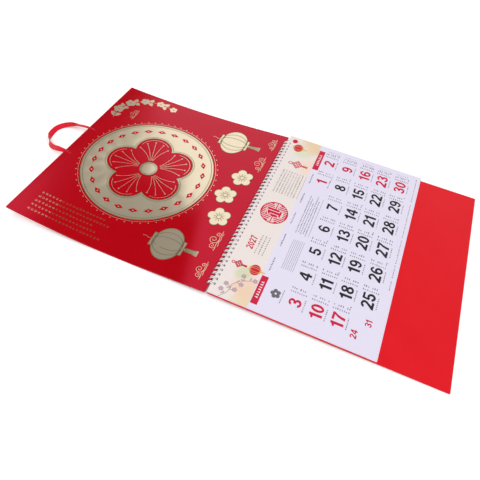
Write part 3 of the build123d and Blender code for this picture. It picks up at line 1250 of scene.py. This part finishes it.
def printDayMarks(marks, darker):
    # with every number: a short row below it, two upright rows to its right and here and there a dot
    right, below, count, bars = fineMarks["underNumbers"]
    top, rows, down = fineMarks["besideNumbers"]
    (near, nearBars), (far, farBars) = fineMarks["besideColumns"]
    dotX, dotY = fineMarks["numberDots"]
    for column, x in enumerate(page["columns"]):
        for row, y in enumerate(page["rows"]):
            if (row == 0 and column < page["firstDay"]) or (row == 4 and column == 0):
                continue
            marks += smallMarks(x + right, y + below, count, *bars)
            for k in range(rows):
                marks += smallMarks(x + near, y + top - k * down, 1, *nearBars)
                if (k + row + column) % 4:
                    marks += smallMarks(x + far, y + top - k * down, 1, *farBars)
            if (row + column) % 3 == 0:
                darker += [[oval(x + dotX, y + dotY, 1.0, count=8)]]


def markBlock(x, y, rows, down, count, bars):
    # rows of marks, one below the other
    return [mark for row in range(rows) for mark in smallMarks(x, y - row * down, count, *bars)]


def printSmallMarks(grey, dark):
    random.seed(12)
    marks, darker = [], []
    printDayMarks(marks, darker)
    # over the columns, in the header and in the first row
    left, y, count, bars = fineMarks["overColumns"]
    for x in page["columns"][1:6]:
        darker += smallMarks(x + left, y, count, *bars)
    marks += markBlock(*fineMarks["headerRight"])
    darker += markBlock(*fineMarks["headerLeft"])
    x, y, rows, down, count, bars = fineMarks["firstRow"]
    for row in range(rows):
        marks += smallMarks(x + 3 * (row % 2), y - row * down, count - 2 * (row % 3), *bars)
    left, right, y, count, down = fineMarks["ruled"]
    lines = [[(left, y - down * k), (right, y - down * k)] for k in range(count)]
    lines += [[(left, y), (right, y)] for left, right, y in fineMarks["rules"]]
    # along the foot and down the right side
    x, y, groups, pitch, bars = fineMarks["foot"]
    for group in range(groups):
        start = x + group * pitch
        darker += smallMarks(start, y, 6 + group % 3, *bars)
        darker += [[oval(start + 24.2, y + 0.7, 1.0, count=8)]]
    groups, pitch, rows, down = fineMarks["side"]
    for group in range(groups):
        for k in range(rows):
            for x, y, bars in fineMarks["sideColumns"]:
                marks += smallMarks(x, y - group * pitch - k * down, 1, *bars)
    # a small blossom with a row of bars below it
    x, y = fineMarks["blossom"]
    darker += [[blossom(x, y, 4.6, 3.2), oval(x, y, 1.7, count=12)]]
    darker += smallMarks(x - 12, y - 10.5, 7, 3.4, 1.6, 1.2)
    inked("fine_marks", marks, grey, 1, lines, 0.5)
    inked("fine_marks_dark", darker, dark, 1)


def printLeaf():
    red, black, white, grey, darkGrey, ochre, brown, mauve = [
        offsetInk(name, *colours) for name, colours in inks.items()]
    printDates(black, red)
    printHeader(red, white, ochre, brown, mauve)
    printRoundel(red, white)
    printSmallMarks(grey, darkGrey)


printLeaf()
print("leaf printed")

# Studio: a white floor under a pale sky with one dark part, and one soft lamp
studio = {
    "floor": "F2F2F2",
    "floorHalf": 6.0,
    "floorDrop": 0.0002,                    # the floor lies that far below the calendar
    "floorGlow": 0.3,                       # what the camera sees on top of the lit floor
    "floorShadePainted": "1C0A0C",                    # painted shade: the floor's colour where something lies close over it
    "shadeReach": 0.012,                  # how close that is
    "shadeFade": (0.15, 0.45),               # from painted shade to plain floor, as the share of the sky that it sees
    "sky": 0.95,
    "darkSky": 0.04,
    "darkMiddle": (0.451, 0.621, 0.641),    # direction of the dark part, which deepens the gloss
    "darkReach": (0.42, 0.5),               # from its middle to where it starts and ends to fade
    "darkSide": (-0.1, 1.0, 0.0),           # its near side is straight and lies across this direction
    "darkFrom": (0.316, 0.334),             # where that side starts and ends to fade, along it
    "lamp": 10.0,
    "lampPlace": (-0.9, -0.1, 2.0),
    "lampSize": 1.6,
}


def paperSweep():
    # seamless white paper, a little brighter to the camera than it is lit; painted shade darkens its
    # colour and dims that glow where something lies close over it
    material, tree, shader = newMaterial("seamlessPaper")
    ray = addNode(tree, "ShaderNodeLightPath", {})
    openSky = addNode(tree, "ShaderNodeAmbientOcclusion", {
        "Distance": studio["shadeReach"]}, samples=8)
    clear = addNode(tree, "ShaderNodeMapRange", {
        "Value": openSky.outputs["AO"],
        "From Min": studio["shadeFade"][0], "From Max": studio["shadeFade"][1]})
    # the camera's glow fades where the floor is covered: painted shade
    seen = addNode(tree, "ShaderNodeMath", {
        0: ray.outputs["Is Camera Ray"], 1: openSky.outputs["AO"]}, operation="MULTIPLY")
    glow = addNode(tree, "ShaderNodeMath", {
        0: seen.outputs[0], 1: studio["floorGlow"]}, operation="MULTIPLY")
    # the floor's colour turns dark where it is covered: painted shade
    shade = addNode(tree, "ShaderNodeMix", {
        "Factor": clear.outputs["Result"], "A": linear(studio["floorShadePainted"]), "B": linear(studio["floor"])},
        data_type="RGBA")
    setInputs(tree, shader, {
        "Base Color": shade.outputs["Result"], "Roughness": 0.95, "Emission Color": linear("FFFFFF"),
        "Emission Strength": glow.outputs[0]})
    return material


def makeFloor():
    mesh = bpy.data.meshes.new("studio_floor")
    half = studio["floorHalf"]
    mesh.from_pydata([(x, y, 0) for x, y in box(-half, -half, half, half)], [], [(0, 1, 2, 3)])
    mesh.materials.append(paperSweep())
    floor = bpy.data.objects.new("studio_floor", mesh)
    scene.collection.objects.link(floor)
    floor.location.z = -studio["floorDrop"]


def makeSky():
    # pale all round, apart from the dark part that the boards mirror
    world = bpy.data.worlds.new("studio")
    scene.world = world
    world.use_nodes = True
    tree = world.node_tree
    where = addNode(tree, "ShaderNodeTexCoord", {})
    away = addNode(tree, "ShaderNodeVectorMath", {
        0: where.outputs["Generated"], 1: studio["darkMiddle"]}, operation="DISTANCE")
    inside = addNode(tree, "ShaderNodeMapRange", {
        "Value": away.outputs["Value"],
        "From Min": studio["darkReach"][0], "From Max": studio["darkReach"][1],
        "To Min": 1.0, "To Max": 0.0}, interpolation_type="SMOOTHSTEP")
    across = addNode(tree, "ShaderNodeVectorMath", {
        0: where.outputs["Generated"], 1: studio["darkSide"]}, operation="DOT_PRODUCT")
    past = addNode(tree, "ShaderNodeMapRange", {
        "Value": across.outputs["Value"],
        "From Min": studio["darkFrom"][0], "From Max": studio["darkFrom"][1]})
    dark = addNode(tree, "ShaderNodeMath", {
        0: inside.outputs["Result"], 1: past.outputs["Result"]}, operation="MULTIPLY")
    level = addNode(tree, "ShaderNodeMapRange", {
        "Value": dark.outputs[0], "To Min": studio["sky"], "To Max": studio["darkSky"]})
    background = tree.nodes["Background"]
    setInputs(tree, background, {"Color": (1, 1, 1, 1), "Strength": level.outputs["Result"]})


def makeLamp():
    data = bpy.data.lights.new("soft_lamp", "AREA")
    data.size = studio["lampSize"]
    data.energy = studio["lamp"]
    lamp = bpy.data.objects.new("soft_lamp", data)
    scene.collection.objects.link(lamp)
    lamp.location = studio["lampPlace"]
    lamp.rotation_mode = "QUATERNION"
    lamp.rotation_quaternion = (-Vector(studio["lampPlace"])).to_track_quat("-Z", "Y")


makeFloor()
makeSky()
makeLamp()
print("studio lit")
